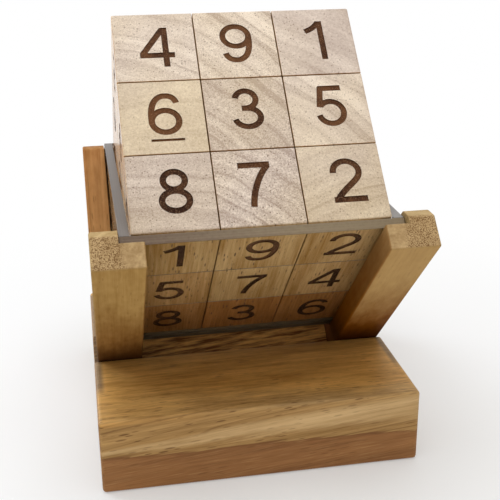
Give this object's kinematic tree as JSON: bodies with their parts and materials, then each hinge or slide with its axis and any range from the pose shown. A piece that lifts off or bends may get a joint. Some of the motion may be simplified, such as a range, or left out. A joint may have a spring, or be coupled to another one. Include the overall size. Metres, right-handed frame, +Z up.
{
  "type": "sudoku cube",
  "caption": "Sudoku cube puzzle: loose numbered wooden cubes packed in a clear V-shaped holder that stands on its edge in a wooden cradle on a square base.",
  "frame": {"origin": "middle of the base's underside", "axes": "+Z up, the front with the two forward arms towards -Y, +X to the right seen from the front"},
  "size_m": [0.1, 0.1239, 0.1363],
  "materials": {
    "base_wood": "oiled brown hardwood",
    "front_arm_wood": "satin tan hardwood",
    "back_arm_wood": "satin red-brown hardwood",
    "cube_wood": "bare sanded pale hardwood",
    "acrylic": "clear polished sheet"
  },
  "bodies": {
    "stand": {"base": "base_wood", "front_left_arm": "front_arm_wood", "front_right_arm": "front_arm_wood", "back_left_arm": "back_arm_wood", "back_right_arm": "back_arm_wood"},
    "holder": {"holder_front_plate": "acrylic", "holder_back_plate": "acrylic", "holder_left_plate": "acrylic", "holder_right_plate": "acrylic"},
    "cube_bottom_front_left": {"cube_bottom_front_left": "cube_wood"},
    "cube_bottom_front_centre": {"cube_bottom_front_centre": "cube_wood"},
    "cube_bottom_front_right": {"cube_bottom_front_right": "cube_wood"},
    "cube_bottom_mid_left": {"cube_bottom_mid_left": "cube_wood"},
    "cube_bottom_mid_centre": {"cube_bottom_mid_centre": "cube_wood"},
    "cube_bottom_mid_right": {"cube_bottom_mid_right": "cube_wood"},
    "cube_bottom_back_left": {"cube_bottom_back_left": "cube_wood"},
    "cube_bottom_back_centre": {"cube_bottom_back_centre": "cube_wood"},
    "cube_bottom_back_right": {"cube_bottom_back_right": "cube_wood"},
    "cube_middle_front_left": {"cube_middle_front_left": "cube_wood"},
    "cube_middle_front_centre": {"cube_middle_front_centre": "cube_wood"},
    "cube_middle_front_right": {"cube_middle_front_right": "cube_wood"},
    "cube_middle_mid_left": {"cube_middle_mid_left": "cube_wood"},
    "cube_middle_mid_centre": {"cube_middle_mid_centre": "cube_wood"},
    "cube_middle_mid_right": {"cube_middle_mid_right": "cube_wood"},
    "cube_middle_back_left": {"cube_middle_back_left": "cube_wood"},
    "cube_middle_back_centre": {"cube_middle_back_centre": "cube_wood"},
    "cube_middle_back_right": {"cube_middle_back_right": "cube_wood"},
    "cube_top_front_left": {"cube_top_front_left": "cube_wood"},
    "cube_top_front_centre": {"cube_top_front_centre": "cube_wood"},
    "cube_top_front_right": {"cube_top_front_right": "cube_wood"},
    "cube_top_mid_left": {"cube_top_mid_left": "cube_wood"},
    "cube_top_mid_centre": {"cube_top_mid_centre": "cube_wood"},
    "cube_top_mid_right": {"cube_top_mid_right": "cube_wood"},
    "cube_top_back_left": {"cube_top_back_left": "cube_wood"},
    "cube_top_back_centre": {"cube_top_back_centre": "cube_wood"},
    "cube_top_back_right": {"cube_top_back_right": "cube_wood"}
  },
  "joints": [
    {"name": "lift_holder", "type": "slide", "parent": "stand", "child": "holder", "axis": [0, 0, 1], "range_m": [0, 0.065]},
    {"name": "slide_bottom_front_left", "type": "slide", "parent": "holder", "child": "cube_bottom_front_left", "axis": [0, -0.7071, 0.7071], "range_m": [0, 0.08]},
    {"name": "slide_middle_front_left", "type": "slide", "parent": "cube_bottom_front_left", "child": "cube_middle_front_left", "axis": [0, -0.7071, 0.7071], "range_m": [0, 0.055]},
    {"name": "slide_top_front_left", "type": "slide", "parent": "cube_middle_front_left", "child": "cube_top_front_left", "axis": [0, -0.7071, 0.7071], "range_m": [0, 0.03]},
    {"name": "slide_bottom_front_centre", "type": "slide", "parent": "holder", "child": "cube_bottom_front_centre", "axis": [0, -0.7071, 0.7071], "range_m": [0, 0.08]},
    {"name": "slide_middle_front_centre", "type": "slide", "parent": "cube_bottom_front_centre", "child": "cube_middle_front_centre", "axis": [0, -0.7071, 0.7071], "range_m": [0, 0.055]},
    {"name": "slide_top_front_centre", "type": "slide", "parent": "cube_middle_front_centre", "child": "cube_top_front_centre", "axis": [0, -0.7071, 0.7071], "range_m": [0, 0.03]},
    {"name": "slide_bottom_front_right", "type": "slide", "parent": "holder", "child": "cube_bottom_front_right", "axis": [0, -0.7071, 0.7071], "range_m": [0, 0.08]},
    {"name": "slide_middle_front_right", "type": "slide", "parent": "cube_bottom_front_right", "child": "cube_middle_front_right", "axis": [0, -0.7071, 0.7071], "range_m": [0, 0.055]},
    {"name": "slide_top_front_right", "type": "slide", "parent": "cube_middle_front_right", "child": "cube_top_front_right", "axis": [0, -0.7071, 0.7071], "range_m": [0, 0.03]},
    {"name": "slide_bottom_mid_left", "type": "slide", "parent": "holder", "child": "cube_bottom_mid_left", "axis": [0, -0.7071, 0.7071], "range_m": [0, 0.08]},
    {"name": "slide_middle_mid_left", "type": "slide", "parent": "cube_bottom_mid_left", "child": "cube_middle_mid_left", "axis": [0, -0.7071, 0.7071], "range_m": [0, 0.055]},
    {"name": "slide_top_mid_left", "type": "slide", "parent": "cube_middle_mid_left", "child": "cube_top_mid_left", "axis": [0, -0.7071, 0.7071], "range_m": [0, 0.03]},
    {"name": "slide_bottom_mid_centre", "type": "slide", "parent": "holder", "child": "cube_bottom_mid_centre", "axis": [0, -0.7071, 0.7071], "range_m": [0, 0.08]},
    {"name": "slide_middle_mid_centre", "type": "slide", "parent": "cube_bottom_mid_centre", "child": "cube_middle_mid_centre", "axis": [0, -0.7071, 0.7071], "range_m": [0, 0.055]},
    {"name": "slide_top_mid_centre", "type": "slide", "parent": "cube_middle_mid_centre", "child": "cube_top_mid_centre", "axis": [0, -0.7071, 0.7071], "range_m": [0, 0.03]},
    {"name": "slide_bottom_mid_right", "type": "slide", "parent": "holder", "child": "cube_bottom_mid_right", "axis": [0, -0.7071, 0.7071], "range_m": [0, 0.08]},
    {"name": "slide_middle_mid_right", "type": "slide", "parent": "cube_bottom_mid_right", "child": "cube_middle_mid_right", "axis": [0, -0.7071, 0.7071], "range_m": [0, 0.055]},
    {"name": "slide_top_mid_right", "type": "slide", "parent": "cube_middle_mid_right", "child": "cube_top_mid_right", "axis": [0, -0.7071, 0.7071], "range_m": [0, 0.03]},
    {"name": "slide_bottom_back_left", "type": "slide", "parent": "holder", "child": "cube_bottom_back_left", "axis": [0, -0.7071, 0.7071], "range_m": [0, 0.08]},
    {"name": "slide_middle_back_left", "type": "slide", "parent": "cube_bottom_back_left", "child": "cube_middle_back_left", "axis": [0, -0.7071, 0.7071], "range_m": [0, 0.055]},
    {"name": "slide_top_back_left", "type": "slide", "parent": "cube_middle_back_left", "child": "cube_top_back_left", "axis": [0, -0.7071, 0.7071], "range_m": [0, 0.03]},
    {"name": "slide_bottom_back_centre", "type": "slide", "parent": "holder", "child": "cube_bottom_back_centre", "axis": [0, -0.7071, 0.7071], "range_m": [0, 0.08]},
    {"name": "slide_middle_back_centre", "type": "slide", "parent": "cube_bottom_back_centre", "child": "cube_middle_back_centre", "axis": [0, -0.7071, 0.7071], "range_m": [0, 0.055]},
    {"name": "slide_top_back_centre", "type": "slide", "parent": "cube_middle_back_centre", "child": "cube_top_back_centre", "axis": [0, -0.7071, 0.7071], "range_m": [0, 0.03]},
    {"name": "slide_bottom_back_right", "type": "slide", "parent": "holder", "child": "cube_bottom_back_right", "axis": [0, -0.7071, 0.7071], "range_m": [0, 0.08]},
    {"name": "slide_middle_back_right", "type": "slide", "parent": "cube_bottom_back_right", "child": "cube_middle_back_right", "axis": [0, -0.7071, 0.7071], "range_m": [0, 0.055]},
    {"name": "slide_top_back_right", "type": "slide", "parent": "cube_middle_back_right", "child": "cube_top_back_right", "axis": [0, -0.7071, 0.7071], "range_m": [0, 0.03]}
  ]
}
